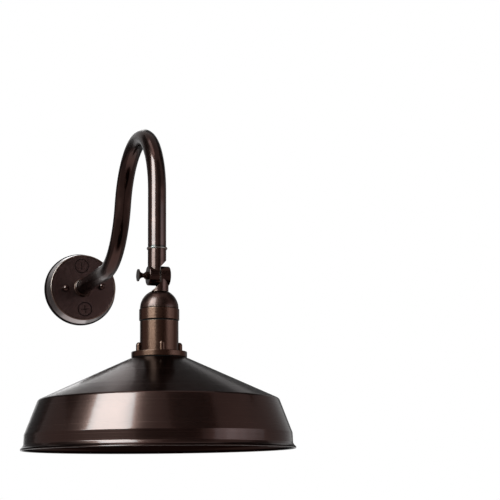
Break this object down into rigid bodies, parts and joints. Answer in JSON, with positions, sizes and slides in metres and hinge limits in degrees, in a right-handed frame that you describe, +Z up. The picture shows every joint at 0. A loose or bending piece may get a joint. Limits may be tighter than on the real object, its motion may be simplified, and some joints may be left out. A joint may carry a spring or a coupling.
{
  "type": "gooseneck wall sconce",
  "caption": "Wall light with a round canopy, a gooseneck tube arm, a toothed tilt knuckle with a thumbscrew, a cast lamp housing and a wide spun barn shade.",
  "frame": {"origin": "where the canopy's centre line meets the wall, on the crossbar's back face", "axes": "+Z up, +Y into the wall (the lamp reaches out along -Y), +X to the right of someone who faces the wall"},
  "size_m": [0.4064, 0.7642, 0.5164],
  "materials": {
    "canopy_bronze": "gloss oil-rubbed bronze lacquer on a cast pan",
    "arm_bronze": "gloss oil-rubbed bronze lacquer on tube",
    "knuckle_bronze": "semi-gloss oil-rubbed bronze on a casting",
    "cast_bronze": "satin brushed bronze on a turned casting",
    "shade_bronze": "gloss lacquered bronze over fine spinning lines",
    "fastener_bronze": "gloss dark bronze on turned fasteners",
    "black_rubber": "matte",
    "zinc_steel": "zinc plated",
    "green_steel": "green enamel on the earth screw",
    "brass": "bright",
    "porcelain": "glazed white",
    "wire_black": "satin insulation",
    "wire_white": "satin insulation"
  },
  "bodies": {
    "root": {"wall_gasket": "black_rubber", "canopy": "canopy_bronze", "crossbar": "zinc_steel", "canopy_studs": "zinc_steel", "stud_nuts": "zinc_steel", "ball_nuts": "fastener_bronze", "ground_screw": "green_steel", "top_plug": "canopy_bronze", "bottom_plug": "canopy_bronze", "arm_collar": "arm_bronze", "arm_nipple": "zinc_steel", "arm_bushing": "zinc_steel", "lock_washer": "zinc_steel", "arm_locknut": "zinc_steel", "arm_tube": "arm_bronze", "ferrule_ring": "arm_bronze", "knuckle_upper": "knuckle_bronze", "live_wire_arm": "wire_black", "neutral_wire_arm": "wire_white"},
    "head": {"knuckle_lower": "knuckle_bronze", "stub_nut": "zinc_steel", "socket_cap": "knuckle_bronze", "cap_collar": "cast_bronze", "cap_gasket": "black_rubber", "socket_housing": "cast_bronze", "lampholder_bracket": "zinc_steel", "lampholder_body": "porcelain", "lampholder_screws": "zinc_steel", "screw_shell": "brass", "centre_contact": "brass", "shade": "shade_bronze", "shade_gasket": "black_rubber", "clamp_ring": "zinc_steel", "shade_screws": "zinc_steel", "live_wire_head": "wire_black", "neutral_wire_head": "wire_white"},
    "washer": {"thumb_washer": "fastener_bronze"},
    "screw": {"thumbscrew": "fastener_bronze"}
  },
  "joints": [
    {"name": "head_tilt", "type": "hinge", "parent": "root", "child": "head", "pos_m": [0.0018, -0.56102, -0.0626], "axis": [1, 0, 0], "range_deg": [-75, 45]},
    {"name": "washer_slide", "type": "slide", "parent": "head", "child": "washer", "axis": [-1, 0, 0], "range_m": [0, 0.002]},
    {"name": "thumbscrew_turn", "type": "hinge", "parent": "washer", "child": "screw", "pos_m": [0.0018, -0.56102, -0.0626], "axis": [-1, 0, 0], "range_deg": [0, 720]}
  ],
  "couplings": [
    {"joint": "thumbscrew_turn", "follows": "washer_slide", "rad_per_m": 6283}
  ]
}
